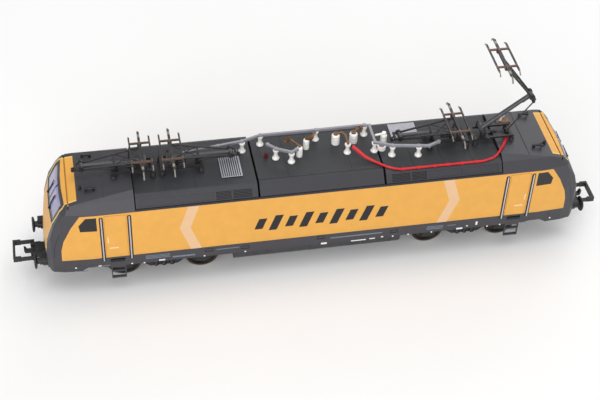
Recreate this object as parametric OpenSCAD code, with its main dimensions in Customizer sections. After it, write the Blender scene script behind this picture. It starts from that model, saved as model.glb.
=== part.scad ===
// Electric locomotive with two four-wheel bogies and four pantographs, a model in the scale 1:87.
// Millimetres. +X runs along the locomotive, +Z is up, z = 0 is the lowest point of the wheel flanges
// and the origin lies midway between the ends. Both ends are alike. "Left" is -X and "right" is +X.

/* [Body] */
// Width over the body sides
body_w = 34.2; // [33.8:0.1:34.6]
// Distance from the middle to the tip of each nose
nose_x = 104.4; // [104:0.1:104.8]
// Height of the body's lower edge between the bogies
sill_z = 13; // [12.9:0.1:13.2]
// Height at which the sill ends and the side wall begins
belt_z = 17.9; // [17.5:0.1:18.5]
// Height of the side wall's upper edge
eaves_z = 40.2; // [40:0.1:40.6]
// Height of the flat roof
roof_z = 44.8; // [44.6:0.1:45]
// Wall thickness of the moulded shell
wall = 1.1; // [0.9:0.1:1.3]
// Distance from the middle to the cab roof's rear edge
cab_x = 70; // [69.5:0.1:70.5]
// Half length of the middle roof section
middle_roof_x = 24; // [23.5:0.1:24.5]

/* [Running gear] */
// Distance from the middle to each bogie's pivot
pivot_x = 60; // [59.8:0.1:60.2]
// Wheelbase of a bogie
wheelbase = 29.9; // [29.7:0.1:30.1]
// Diameter of the wheel treads
tread_d = 14.4; // [14.2:0.1:14.4]
// Depth of the wheel flanges
flange_h = 1; // [0.9:0.1:1]
// Distance between the inner faces of the wheels of one axle
back_to_back = 14.4; // [14.3:0.1:14.6]
// Width of a wheel
wheel_w = 2.8; // [2.7:0.1:2.8]
// Number of teeth of the gear on each axle
gear_teeth = 20; // [18:1:20]

/* [Buffers and couplings] */
// Length over the buffers
length_over_buffers = 217.2; // [216.8:0.2:218]
// Distance between the centres of the two buffers of one end
buffer_spacing = 20.1; // [19.9:0.1:20.3]
// Height of the buffers' centres
buffer_z = 13.2; // [13.1:0.1:13.3]
// Diameter of the buffer heads
buffer_d = 6.1; // [5.8:0.1:6.2]
// Distance from the middle to the front of each coupling loop
coupler_reach = 116.6; // [116.2:0.1:117]

/* [Pantographs] */
// Length of the lower arm
lower_arm = 23; // [22.9:0.1:23.1]
// Length of the upper arm
upper_arm = 22.2; // [22:0.1:22.4]
// Angle of the raised lower arm
raised_lower = 39.5; // [38:0.5:39.5]
// Angle of the raised upper arm
raised_upper = 52; // [50:0.5:52]
// Distance between the two contact strips of a head
strip_gap = 7.5; // [7.2:0.1:7.6]
// Width over the middle horns of a head
horn_w = 27.2; // [26:0.2:27.2]

/* [Hidden] */
$fn = 40;

yellow = [0.94, 0.75, 0.37];
roof_grey = [0.3, 0.31, 0.33];
black = [0.09, 0.09, 0.1];
dark_grey = [0.19, 0.19, 0.2];
cast_grey = [0.42, 0.42, 0.44];
silver = [0.78, 0.78, 0.8];
steel = [0.55, 0.55, 0.56];
brass = [0.77, 0.62, 0.3];
copper = [0.66, 0.43, 0.26];
off_white = [0.93, 0.92, 0.9];
bar_grey = [0.72, 0.72, 0.77];
cable_red = [0.8, 0.1, 0.14];
glass = [0.66, 0.63, 0.78];
smoke = [0.1, 0.1, 0.12];

// Body
side_y = body_w / 2;
sill_inset = 0.15;
arch_rise = 0.6;
arch_x = [82.5, 84, 88.8, 91.2];
apron_z = 11.9;
roof_edge_y = 13;
cab_roof_z = 46;
cab_edge = [14.4, 44];
cab_crown_y = 11.5;
// Side view of a nose from its foot up to the cab roof's rear edge: distance behind the tip, height
nose_line = [
  [1.2, apron_z], [0.1, 14.2], [0, 17.5], [0.4, 22], [1.1, 27], [3.4, 34.6], [6.5, 40.6],
  [8.7, 43.1], [13.8, 44.1], [34.4, cab_roof_z]
];
// Plan of a cab corner: distance behind the tip, distance inside the body side
cab_plan = [[-0.2, 8], [0.9, 3.6], [2.8, 1.6], [6.9, 0.7], [19, 0]];
// Angled cuts that round a nose in plan: angle, and the point they turn about
nose_cuts = [[4, [0, 0]], [35, [90, 11]]];
cut_reach = 80;
hatch_gap = 0.4;

// Openings of the body
screen_half_w = 12.2;
screen_low = 34.6;
screen_high = 42;
window_points = [[84.3, 32.1], [90.5, 32.2], [90.9, 35.3], [88.2, 38.8], [84.3, 38.8]];
door_x = 77.5;
door_half_w = 4;
rail_offset = 5.15;
lamp_y = 11.4;
lamp_z = 21.4;
lamp_r = 1.15;
tail_lamp_y = 8.7;
tail_lamp_r = 0.8;

// Running gear
axle_z = flange_h + tread_d / 2;
axle_r = 1;
axle_half = 11.4;
axle_x = wheelbase / 2;
flange_r = tread_d / 2 + flange_h;
wheel_in = back_to_back / 2;
gear_module = 0.5;
gear_pitch_r = gear_module * gear_teeth / 2;
gear_half = 1.5;
running = 0.05;
worm_r = 2.8;
shaft_z = 16.7;
shaft_r = 1;
box_half_x = 19;
box_half_y = 4;
box_low = 3.3;
box_high = 20.3;
collar_r = 12;
deck_low = 17.4;
deck_high = 20.4;
frame_y = 10.7;
frame_end = 24.6;
cup_x = 21.5;
cup_r = 3;
socket_r = 2.3;
ball_r = 1.8;
ball_x = 18.5;
cardan_r = 0.9;
flywheel_r = 7.4;
flywheel_x = [14.5, 20.5];
motor_half = [12.8, 8, 8];

// Pantographs: pivot, direction of the knee (+1 or -1), angles of the lower and upper arm and the rod
pan_z = 49.5;
folded_lower = 0.5;
folded_upper = 7;
outer_pan_x = 64.8;
inner_pan_x = 55.5;
rod_foot = [10.2, -1.7];
tail = [3.29, -0.8];
function knee(lower) = [lower_arm * cos(lower), lower_arm * sin(lower)];
function tail_at(lower, upper) = knee(lower) + [
  tail[0] * cos(upper) + tail[1] * sin(upper),
  tail[1] * cos(upper) - tail[0] * sin(upper)];
function rod_span(lower, upper) = tail_at(lower, upper) - rod_foot;
function rod_angle(lower, upper) = atan2(rod_span(lower, upper)[1], rod_span(lower, upper)[0]);
rod_length = norm(rod_span(raised_lower, raised_upper));
pans = [
  [-outer_pan_x, -1, folded_lower, folded_upper],
  [-inner_pan_x, 1, folded_lower, folded_upper],
  [inner_pan_x, -1, folded_lower, folded_upper],
  [outer_pan_x, 1, raised_lower, raised_upper]
];

// Points and outlines
function mirrored(half) = concat(half, [for (i = [len(half) - 1:-1:0]) [-half[i][0], half[i][1]]]);
function side_half(inset, open) = concat(
  open ? [[nose_x - nose_line[0][0] - inset, 0]] : [
    [arch_x[0], sill_z], [arch_x[1], sill_z + arch_rise], [arch_x[2], sill_z + arch_rise],
    [arch_x[3], apron_z]],
  [for (p = nose_line) [nose_x - p[0] - inset, p[1] > screen_high ? p[1] - inset : p[1]]]);
function section_half(inset, open) = concat(
  open ? [[side_y - sill_inset - inset, 0]] : [[side_y - sill_inset, apron_z - 1]],
  [[side_y - sill_inset - inset, belt_z], [side_y - inset, belt_z + sill_inset],
   [side_y - inset, eaves_z], [cab_edge[0] - 0.7 * inset, cab_edge[1] - 0.7 * inset],
   [cab_crown_y - 0.4 * inset, cab_roof_z - inset], [cab_crown_y - 1.2, cab_roof_z + 0.8]]);
function plan_half(inset) = concat(
  [for (p = cab_plan) [nose_x - p[0] - inset, side_y - p[1] - inset]]);
function plan_points(inset) = let (q = mirrored(plan_half(inset)))
  concat(q, [for (i = [len(q) - 1:-1:0]) [q[i][0], -q[i][1]]]);

module both_ends() {
  children();
  mirror([1, 0, 0]) children();
}

module both_sides() {
  children();
  mirror([0, 1, 0]) children();
}

module four_corners() {
  both_ends() both_sides() children();
}

// A block given by its lowest and highest corners
module block(low, high) {
  translate(low) cube(high - low);
}

// A bar between two points
module bar(from, to, r) {
  span = to - from;
  length = norm(span);
  tilt = acos(span[2] / length);
  turn = atan2(span[1], span[0]);
  translate(from) rotate([0, tilt, turn]) cylinder(h = length, r = r);
}

// A cylinder across the locomotive, from y0 to y1
module cross_pin(x, z, y0, y1, r) {
  translate([x, y0, z]) rotate([-90, 0, 0]) cylinder(h = y1 - y0, r = r);
}

// A cylinder along the locomotive, from x0 to x1
module long_pin(x0, x1, y, z, r) {
  translate([x0, y, z]) rotate([0, 90, 0]) cylinder(h = x1 - x0, r = r);
}

// Everything in front of a nose whose face lies inset behind the outer one
module nose_front(inset) {
  rotate([90, 0, 0]) linear_extrude(4 * cut_reach, center = true)
    polygon(concat(
      [[nose_x + cut_reach, -1], [nose_x - nose_line[0][0] - inset, -1]],
      [for (i = [0:7]) [nose_x - nose_line[i][0] - inset, nose_line[i][1]]],
      [[nose_x - nose_line[7][0] - 8, 60], [nose_x + cut_reach, 60]]));
}

module nose_corners(inset) {
  four_corners() for (c = nose_cuts) {
    translate(c[1]) rotate([0, 0, c[0]]) translate(-c[1]) nose_front(inset);
  }
}

// The closed outer form of the body, moved inwards by inset; open runs it on down through the floor
module body_form(inset, open = false) {
  difference() {
    intersection() {
      rotate([90, 0, 90]) linear_extrude(2 * nose_x + 4, center = true)
        polygon(mirrored(section_half(inset, open)));
      rotate([90, 0, 0]) linear_extrude(body_w + 4, center = true)
        polygon(mirrored(side_half(inset, open)));
      linear_extrude(50) polygon(plan_points(inset));
    }
    nose_corners(inset);
  }
}

// Prism through a nose in the shape of the windscreen
module screen_prism(shrink) {
  translate([80, 0, 0]) rotate([90, 0, 90]) linear_extrude(30)
    polygon([
      [-screen_half_w + shrink, screen_low + shrink], [screen_half_w - shrink, screen_low + shrink],
      [screen_half_w - shrink, screen_high - 1.2], [screen_half_w - 1 - shrink, screen_high - shrink],
      [-screen_half_w + 1 + shrink, screen_high - shrink], [-screen_half_w + shrink, screen_high - 1.2]]);
}

// Prism through both cab sides in the shape of the side windows
module window_prism() {
  rotate([90, 0, 0]) linear_extrude(body_w + 4, center = true) polygon(window_points);
}

module window_glass() {
  rotate([90, 0, 0]) linear_extrude(body_w + 4, center = true)
    polygon([for (p = window_points)
      p + 0.06 * [p[0] < 87 ? 1 : -1, p[1] < 35 ? 1 : -1]]);
}

// Grooves of one door with the channels beside it for the handrails
module door_grooves() {
  groove = 0.25;
  depth = 0.2;
  for (s = [-1, 1]) {
    block([door_x + s * door_half_w - groove / 2, side_y - depth, belt_z + 0.4],
          [door_x + s * door_half_w + groove / 2, side_y + 1, eaves_z - 1]);
    block([door_x + s * rail_offset - 0.6, side_y - 0.45, sill_z + 3.4],
          [door_x + s * rail_offset + 0.6, side_y + 1, eaves_z - 1.3]);
  }
  block([door_x - door_half_w, side_y - depth, eaves_z - 1.2],
        [door_x + door_half_w, side_y + 1, eaves_z - 1.2 + groove]);
  block([door_x - 2.7, side_y - sill_inset - 0.7, sill_z + 2.4],
        [door_x + 2.8, side_y + 1, belt_z - 0.9]);
}

// Grooves round the small covers of the sill: middle and height of each
sill_covers = [[-93.2, 16], [-43.1, 16.2], [-29.2, 15.6], [0.2, 16.4], [29.2, 15.6], [93.2, 16]];

module sill_grooves() {
  groove = 0.3;
  face = side_y - sill_inset;
  for (c = sill_covers) difference() {
    translate([c[0] - 1.6, face - groove, c[1] - 0.8]) cube([3.2, 1, 1.6]);
    translate([c[0] - 1.3, face - 1.05, c[1] - 0.5]) cube([2.6, 1, 1]);
  }
}

module body_shell() {
  color(yellow) difference() {
    body_form(0);
    body_form(wall, true);
    block([-cab_x, -side_y - 1, eaves_z], [cab_x, side_y + 1, cab_roof_z + 2]);
    both_ends() screen_prism(0);
    both_ends() window_prism();
    four_corners() door_grooves();
    both_sides() sill_grooves();
    four_corners() long_pin(nose_x - 6, nose_x + 2, lamp_y, lamp_z, lamp_r);
    four_corners() long_pin(nose_x - 6, nose_x + 2, tail_lamp_y, lamp_z, tail_lamp_r);
    // Narrow seams across the cab roof
    both_ends() block([93.6, -side_y, 42.6], [94.1, side_y, 46]);
    both_ends() block([80.6, -roof_edge_y, cab_roof_z - 1.2], [81.2, roof_edge_y, 47]);
    // Hollows for the buffer housings and the coupling
    four_corners() block([100.5, buffer_spacing / 2 - 2.4, apron_z - 2], [107, buffer_spacing / 2 + 2.4, 16.3]);
    both_ends() block([95, -6, apron_z - 2], [107, 6, apron_z + 1.6]);
  }
}

// Roof sections: outer and inner outline of one half
gutter = [[side_y - 0.1, eaves_z], [side_y - 0.1, eaves_z + 0.2], [side_y - 0.8, eaves_z + 0.3],
          [side_y - 0.5, eaves_z + 0.7]];
middle_section = concat(gutter, [[roof_edge_y + 0.1, roof_z - 0.4], [roof_edge_y - 0.5, roof_z]]);
side_section = concat(gutter, [[14.5, 43.9], [13.3, 44.4], [roof_edge_y - 0.3, roof_z]]);

module roof_section(x0, x1, half) {
  difference() {
    translate([x0, 0, 0]) rotate([90, 0, 90]) linear_extrude(x1 - x0) polygon(mirrored(half));
    translate([x0 + wall, 0, 0]) rotate([90, 0, 90]) linear_extrude(x1 - x0 - 2 * wall)
      polygon([[-side_y + 2.2, eaves_z - 1], [side_y - 2.2, eaves_z - 1], [side_y - 2.2, eaves_z + 0.3],
               [roof_edge_y - 1.2, roof_z - 1.3], [-roof_edge_y + 1.2, roof_z - 1.3],
               [-side_y + 2.2, eaves_z + 0.3]]);
  }
}

// Panels let into the slope of a side roof section: start, end, depth; the deeper ones hold louvres
slope_foot = gutter[3];
slope_top = [14.5, 43.9];
slope_angle = atan2(slope_top[1] - slope_foot[1], slope_foot[0] - slope_top[0]);
slope_len = norm(slope_top - slope_foot);
panels = [[26.6, 33.6, 0.6], [34.3, 40, 0.6], [41, 54, 0.18], [55, 68, 0.18]];
slat_count = 5;

module slope_panels() {
  rim = 0.4;
  pitch = (slope_len - 2 * rim) / (slat_count + 0.5);
  for (p = panels) {
    translate([0, slope_foot[0], slope_foot[1]]) rotate([180 - slope_angle, 0, 0]) difference() {
      translate([p[0], rim, -1]) cube([p[1] - p[0], slope_len - 2 * rim, 1 + p[2]]);
      if (p[2] > 0.5) for (k = [0:slat_count - 1]) {
        translate([p[0] - 1, rim + (k + 0.5) * pitch, 0.1]) cube([p[1] - p[0] + 2, pitch / 2, 1]);
      }
    }
  }
}

module side_roof() {
  color(roof_grey) difference() {
    roof_section(middle_roof_x + hatch_gap, cab_x - hatch_gap, side_section);
    both_sides() slope_panels();
    for (x = [35.5, 47, 58.5]) {
      block([x - 0.1, -roof_edge_y + 0.2, roof_z - 0.12], [x + 0.1, roof_edge_y - 0.2, roof_z + 1]);
    }
  }
}

module roof_right() {
  side_roof();
}

module roof_left() {
  mirror([1, 0, 0]) side_roof();
}

module roof_middle() {
  color(roof_grey) difference() {
    roof_section(-middle_roof_x + hatch_gap, middle_roof_x - hatch_gap, middle_section);
    both_sides() block([-middle_roof_x, 11.6, roof_z - 0.12], [middle_roof_x, 11.8, roof_z + 1]);
    for (x = [-12, 12]) {
      block([x - 0.1, -11.6, roof_z - 0.12], [x + 0.1, 11.6, roof_z + 1]);
    }
  }
}

module windscreens() {
  color(glass) both_ends() difference() {
    intersection() {
      screen_prism(0.06);
      body_form(0.15);
    }
    body_form(wall - 0.1);
    // Gap between the two panes
    block([90, -0.25, screen_low - 1], [110, 0.25, screen_high + 1]);
  }
}

module side_windows() {
  color(smoke) both_ends() difference() {
    intersection() {
      window_glass();
      body_form(0.12);
    }
    body_form(wall - 0.1);
  }
}

module cab_interiors() {
  color(cast_grey) both_ends() intersection() {
    union() {
      block([80, -14, 24.4], [99.5, 14, 25.4]);
      block([80, -14, 24.4], [81.2, 14, 41.5]);
      // Driver's desk
      rotate([90, 0, 0]) linear_extrude(24, center = true)
        polygon([[94, 25], [99.5, 25], [99.5, 32.5], [97.5, 33.4], [93.4, 31.6], [93.4, 30.6]]);
      // Two seats
      for (y = [-6, 6]) {
        block([86, y - 2.4, 28.2], [90.4, y + 2.4, 29.4]);
        block([85.2, y - 2.2, 28.2], [86.4, y + 2.2, 34.6]);
        translate([88.2, y, 25]) cylinder(h = 3.5, r = 0.9);
      }
    }
    body_form(wall + 0.5);
  }
}

module lamp_lenses() {
  color(off_white) four_corners() {
    long_pin(nose_x - 3.4, nose_x - 1.2, lamp_y, lamp_z, lamp_r - 0.06);
    translate([nose_x - 1.25, lamp_y, lamp_z]) rotate([0, 90, 0])
      cylinder(h = 0.35, r1 = lamp_r - 0.06, r2 = lamp_r - 0.5);
  }
  color(cable_red) four_corners() {
    long_pin(nose_x - 3.4, nose_x - 1, tail_lamp_y, lamp_z, tail_lamp_r - 0.06);
  }
}

// Wipers lie just in front of the sloping windscreen
module wipers() {
  slope = atan2(nose_line[6][0] - nose_line[5][0], nose_line[6][1] - nose_line[5][1]);
  color(black) both_ends() for (s = [-1, 1]) {
    translate([nose_x - nose_line[5][0] - 0.15, s * 4.4, nose_line[5][1] + 0.1]) rotate([0, -slope, 0])
      union() {
        rotate([s * 8, 0, 0]) block([0, -0.18, -0.4], [0.36, 0.18, 5.2]);
        translate([0.05, s * -0.6, 2.2]) rotate([s * -6, 0, 0]) block([0, -0.14, 0], [0.3, 0.14, 4.2]);
        rotate([0, 90, 0]) cylinder(h = 0.4, r = 0.45);
      }
  }
}

module circuit_board() {
  color([0.1, 0.35, 0.2]) union() {
    block([-50, -12, 28], [50, 12, 29]);
    // Decoder in its socket, and a few components
    block([-11, -8, 29], [11, 8, 30.6]);
    block([-10, -7, 30.6], [10, 7, 31.8]);
    for (x = [-40, -31, 31, 40]) {
      translate([x, 5, 29]) cylinder(h = 3, r = 2);
      block([x - 2, -8, 29], [x + 2, -4, 30]);
    }
  }
}

module motor_housing() {
  color(steel) difference() {
    union() {
      intersection() {
        block([-motor_half[0], -motor_half[1], shaft_z - motor_half[2]],
              [motor_half[0], motor_half[1], shaft_z + motor_half[2]]);
        long_pin(-motor_half[0], motor_half[0], 0, shaft_z, 9.6);
      }
      long_pin(-motor_half[0] - 1, motor_half[0] + 1, 0, shaft_z, 3);
    }
    long_pin(-20, 20, 0, shaft_z, shaft_r + running);
    // The magnets' slots along the can
    both_sides() block([-8, motor_half[1] - 0.4, shaft_z - 1.2], [8, 9, shaft_z + 1.2]);
  }
}

module chassis_frame() {
  color(cast_grey) intersection() {
    difference() {
      union() {
        block([-100, -16, deck_low], [100, 16, deck_high]);
        block([-33, -16, 12.9], [33, 16, deck_high]);
        block([-23, -10, 7.6], [23, 10, deck_low]);
        both_sides() block([-33, 9.2, deck_low], [33, 15, 25.6]);
        both_ends() block([87, -15, 12.6], [102, 15, deck_high - 0.4]);
        // Posts for the circuit board
        four_corners() translate([46, 10, deck_low]) cylinder(h = 28 - deck_low, r = 1.6);
      }
      // Motor well and the way through for the flywheels
      block([-21.2, -8.3, shaft_z - 8.2], [21.2, 8.3, 40]);
      both_ends() block([20, -5, 13.9], [38, 5, 40]);
      // Seat and slot of each bogie
      both_ends() translate([pivot_x, 0, deck_low - 1]) cylinder(h = 6, r = collar_r + 0.1);
      both_ends() block([pivot_x - 25, -8, deck_low - 1], [pivot_x + 21, 8, 40]);
      // Bore of the coupling's pivot screw
      both_ends() translate([coupler_pivot_x, 0, 10]) cylinder(h = 20, r = 0.8);
      // Room for the buffer housings
      four_corners() block([100.3, buffer_spacing / 2 - 2.4, 9], [106, buffer_spacing / 2 + 2.4, 15.8]);
    }
    body_form(wall + 0.1, true);
  }
}

module underfloor_tank() {
  outer = [[13.3, 12.8], [13.3, 7.2], [11.4, 4.8]];
  inner = [[12.3, 14], [12.3, 7.6], [10.9, 5.8]];
  color(dark_grey) difference() {
    union() {
      rotate([90, 0, 90]) linear_extrude(66, center = true) polygon(mirrored(outer));
      // Ribs and boxes along both sides
      both_sides() for (x = [-25, -3, 14]) {
        block([x - 0.4, 12, 7.6], [x + 0.4, 13.8, 12.4]);
      }
      both_sides() block([-20, 13, 8.2], [-8, 13.9, 11.9]);
      both_sides() block([18, 13, 7.6], [29, 13.9, 11.4]);
    }
    rotate([90, 0, 90]) linear_extrude(64, center = true) polygon(mirrored(inner));
  }
}

module buffers() {
  face = length_over_buffers / 2;
  color(black) four_corners() translate([0, buffer_spacing / 2, buffer_z]) {
    // Head with a rounded rim, plunger, sleeve and housing
    translate([face, 0, 0]) rotate([0, -90, 0]) rotate_extrude()
      polygon([[0, 0], [buffer_d / 2 - 0.3, 0], [buffer_d / 2, 0.3], [buffer_d / 2, 0.6],
               [buffer_d / 2 - 0.4, 0.9], [1.2, 1.1], [1.2, 2], [1.6, 2], [1.6, 3.2], [2, 3.2],
               [2, 6.2], [0, 6.2]]);
    block([face - 7.6, -2.2, -1.8], [face - 5, 2.2, 2.3]);
    block([face - 5.6, -1.7, 1.4], [face - 2.2, 1.7, 2.7]);
  }
}

module cab_steps() {
  color(dark_grey) four_corners() translate([door_x, 0, 0]) union() {
    for (s = [-1, 1]) {
      block([s * 2.6 - 0.2, 16.2, 6.4], [s * 2.6 + 0.2, side_y - 0.2, sill_z - 0.2]);
    }
    for (z = [7, 10.4]) {
      block([-2.6, 16.2, z - 0.35], [2.6, side_y, z + 0.35]);
    }
    block([-2.8, 15.9, sill_z - 0.8], [2.8, side_y - 0.2, sill_z]);
  }
}

module handrails() {
  top = eaves_z - 1.8;
  low = sill_z + 3.8;
  out = side_y + 0.25;
  color(silver) four_corners() for (s = [-1, 1]) translate([door_x + s * rail_offset, 0, 0]) {
    bar([0, out, low], [0, out, top], 0.27);
    for (z = [low + 0.3, top - 0.3]) {
      cross_pin(0, z, side_y - 0.45, out, 0.2);
    }
  }
}

// The solid space under both cab roofs, which what stands on them is cut with
module under_cab_roofs() {
  both_ends() rotate([90, 0, 0]) linear_extrude(2 * cab_crown_y, center = true)
    polygon([[cab_x, 40], [cab_x, cab_roof_z], [nose_x - nose_line[8][0], nose_line[8][1]],
             [nose_x - nose_line[7][0], nose_line[7][1]], [nose_x - nose_line[7][0], 40]]);
}

module horn() {
  translate([-1.7, 0, 0]) rotate([0, 90, 0]) cylinder(h = 2.6, r1 = 0.35, r2 = 0.5);
  translate([0.8, 0, 0]) rotate([0, 90, 0]) cylinder(h = 1.1, r1 = 0.5, r2 = 0.95);
  translate([-1.9, -0.5, -1.2]) cube([0.9, 1, 1.5]);
}

module roof_horns() {
  color(black) difference() {
    both_ends() for (h = [[85.5, -8.5], [85.7, 10.4]]) {
      translate([h[0], h[1], 45.7]) horn();
    }
    under_cab_roofs();
  }
  color(off_white) difference() {
    both_ends() translate([89, -6.6, 44]) cylinder(h = 1.9, r1 = 0.7, r2 = 0.4);
    under_cab_roofs();
  }
}

// Roof insulators
insulator_z = roof_z;
waisted = [
  [-19.9, 8.1], [-27.3, 5.2], [-15.3, -0.6], [-9.8, -3.5], [1.6, 8], [12.2, -1.3], [20.7, 8.1],
  [22.5, -1.9], [28.7, -5.2], [38.6, -6.7]
];
waisted_h = 4.2;
posts = [[-6.2, -0.5, 1.2], [-2.9, 3.5, 1.2], [8.8, 4.8, 1.6], [15.7, 4.6, 1.6]];
post_h = 4.4;
divider = [27, 2.2];
switch_posts = [[75.2, 7.3, 3.4], [77.2, 9.8, 2.4]];

module waisted_insulator() {
  rotate_extrude() polygon([
    [0, 0], [1.4, 0], [1.4, 0.4], [0.9, 1.2], [0.75, 1.9], [0.75, 2.5], [0.9, 3.2], [1.15, 3.7],
    [1.15, waisted_h], [0, waisted_h]]);
}

// A stout post with a rounded shoulder and two sheds
module post(r) {
  rotate_extrude() polygon([
    [0, 0], [r, 0], [r, 1.3], [r - 0.2, 1.45], [r, 1.6], [r, 2.7], [r - 0.2, 2.85], [r, 3],
    [r, post_h - 0.6], [r - 0.2, post_h - 0.2], [r - 0.6, post_h], [0, post_h]]);
}

module insulators() {
  color(off_white) {
    for (p = waisted) translate([p[0], p[1], insulator_z]) waisted_insulator();
    for (p = posts) translate([p[0], p[1], insulator_z]) post(p[2]);
    // Voltage divider with its arm, and the cup beside it
    translate([divider[0], divider[1], insulator_z]) union() {
      post(1.3);
      cylinder(h = 5.3, r = 0.8);
      bar([0, 0, 4.8], [-3.7, -0.6, 4.8], 0.4);
    }
    translate([25.6, -1, insulator_z]) rotate_extrude()
      polygon([[0, 0], [1.7, 0], [1.7, 1.6], [1.1, 1.6], [1.1, 1.1], [0, 1.1]]);
    difference() {
      for (p = switch_posts) translate([p[0], p[1], insulator_z]) cylinder(h = p[2], r = 0.6);
      under_cab_roofs();
    }
  }
}

// Routes of the bare conductors on top of the insulators
bar_size = 0.9;
bar_z = insulator_z + waisted_h;
near_bar = [[-18, 2.3], [-15.3, -0.6], [-9.8, -3.4], [-7.6, -2.1]];
main_bar = [
  [-50, 2.2], [-36.5, 4.1], [-27.3, 5.5], [-19.9, 8], [1.6, 8], [20.7, 8.2], [22.5, 7.6],
  [22.5, -2.3], [28.6, -5.1], [38.4, -6.6], [42.4, -7.2], [46.6, -5.4]
];
copper_routes = [
  [[-6.2, -0.4], [-8.4, 3.1], [-9.6, 4.6], [-11, 2.9]],
  [[-2.9, 3.5], [-0.4, 4.3], [0.8, 6.6]],
  [[8.8, 4.8], [11.2, 5.2], [12.2, 3.5], [12.3, -1.2]],
  [[15.7, 4.6], [17.6, 6.3], [18.9, 6.8]]
];
copper_w = 0.7;

// A bar bent in its own plane, drawn as a flat strip with round clamps at its points
module strip_bar(points, w, h) {
  linear_extrude(h) {
    for (i = [0:len(points) - 2]) {
      span = points[i + 1] - points[i];
      translate(points[i]) rotate(atan2(span[1], span[0])) translate([0, -w / 2]) square([norm(span), w]);
    }
    for (p = points) {
      translate(p) circle(0.8 * w);
    }
  }
}

module busbars() {
  color(bar_grey) for (route = [near_bar, main_bar]) {
    translate([0, 0, bar_z]) strip_bar(route, bar_size, bar_size);
  }
}

module copper_links() {
  color(copper) {
    for (route = copper_routes) {
      translate([0, 0, insulator_z + post_h]) strip_bar(route, copper_w, 0.5);
    }
    // Tray under the earthing switch
    difference() {
      block([73.4, 5.9, 45], [78.8, 8.6, 46.2]);
      translate([switch_posts[0][0], switch_posts[0][1], 40]) cylinder(h = 9, r = 0.62);
      under_cab_roofs();
    }
  }
}

// The red lead: points of its route with the radius there, larger where it wears a sleeve
cable_points = [
  [13.9, -2.3, 48.4, 0.7], [15.3, -3.6, 47.6, 0.75], [17.9, -6.4, 46.3, 0.65], [21.6, -9, 45.4, 0.5],
  [25, -11.9, 45.35, 0.45], [27.8, -13.3, 45.25, 0.45], [30, -13.6, 44.82, 0.45], [46, -13.6, 44.82, 0.45],
  [62.6, -13.6, 44.82, 0.45], [66.4, -12.9, 45.3, 0.45], [68.3, -11.9, 45.9, 0.45], [69.6, -10.7, 46.6, 0.45],
  [71.7, -8, 46.55, 0.6], [73.9, -4.4, 46.32, 0.55], [75.1, -2.3, 46.2, 0.5]
];

module cable_tube(points, sides) {
  n = len(points);
  dirs = [for (i = [0:n - 1])
    let (d = points[min(i + 1, n - 1)] - points[max(i - 1, 0)]) [d[0], d[1]] / norm([d[0], d[1]])];
  rings = [for (i = [0:n - 1]) for (k = [0:sides - 1])
    let (p = points[i], a = 360 * k / sides)
    [p[0] - dirs[i][1] * p[3] * cos(a), p[1] + dirs[i][0] * p[3] * cos(a), p[2] + p[3] * sin(a)]];
  ends = [[for (k = [0:sides - 1]) k], [for (k = [sides - 1:-1:0]) (n - 1) * sides + k]];
  walls = [for (i = [0:n - 2]) for (k = [0:sides - 1])
    [i * sides + k, (i + 1) * sides + k, (i + 1) * sides + (k + 1) % sides, i * sides + (k + 1) % sides]];
  polyhedron(rings, concat(ends, walls), convexity = 6);
}

module red_cable() {
  color(cable_red) cable_tube(cable_points, 8);
}

module roof_gratings() {
  color(bar_grey) {
    difference() {
      block([-36.9, -9, roof_z], [-29.1, 6, roof_z + 0.5]);
      for (x = [-36.5:0.8:-29.8]) {
        block([x, -8.7, roof_z + 0.1], [x + 0.4, 5.7, roof_z + 1]);
      }
    }
    block([30.9, 3.9, roof_z], [41.5, 12.2, roof_z + 0.4]);
  }
}

// A pantograph's fixed base: frame on four insulators, bearings for the arm and the rod
module pan_base() {
  foot = roof_z - pan_z;
  color(dark_grey) union() {
    for (y = [-3.4, 3.4]) {
      block([-3.5, y - 0.45, foot + 2.2], [12.4, y + 0.45, foot + 3]);
    }
    for (x = [-3, 2, 11.6]) {
      block([x - 0.5, -4.6, foot + 2.1], [x + 0.5, 4.6, foot + (x > 10 ? 2.6 : 3)]);
    }
    for (x = [-3, 11.6]) for (y = [-4, 4]) {
      translate([x, y, foot]) rotate_extrude() polygon([
        [0, 0], [1.1, 0], [1.1, 0.4], [0.7, 0.6], [1, 1], [0.7, 1.3], [1, 1.7], [0.7, 2], [0.7, 2.3],
        [0, 2.3]]);
    }
    // Bearing blocks of the lower arm
    for (s = [-1, 1]) difference() {
      union() {
        block([-0.9, s * 3 - 0.6, foot + 2.5], [0.9, s * 3 + 0.6, 0]);
        cross_pin(0, 0, s * 3 - 0.6, s * 3 + 0.6, 0.9);
      }
      cross_pin(0, 0, -5, 5, 0.45 + running);
    }
    // Ears and pin of the control rod
    for (y = [-1.75, -0.05]) {
      block([rod_foot[0] - 0.5, y - 0.25, foot + 1.8], [rod_foot[0] + 0.5, y + 0.25, rod_foot[1] + 0.5]);
    }
    block([rod_foot[0] - 0.5, -2, foot + 1.6], [rod_foot[0] + 1.7, 0.2, foot + 2.3]);
    cross_pin(rod_foot[0], rod_foot[1], -2, 0.2, 0.25);
    // Raising drive
    block([2, -1.6, foot + 2.3], [3.4, 1.6, foot + 3.2]);
    long_pin(2.6, 6.4, 0, foot + 2.6, 0.7);
  }
}

module pan_frame(k) {
  translate([pans[k][0], 0, pan_z]) mirror([pans[k][1] < 0 ? 1 : 0, 0, 0]) children();
}

module pantograph_bases() {
  difference() {
    for (k = [0:3]) pan_frame(k) pan_base();
    under_cab_roofs();
  }
}

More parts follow.
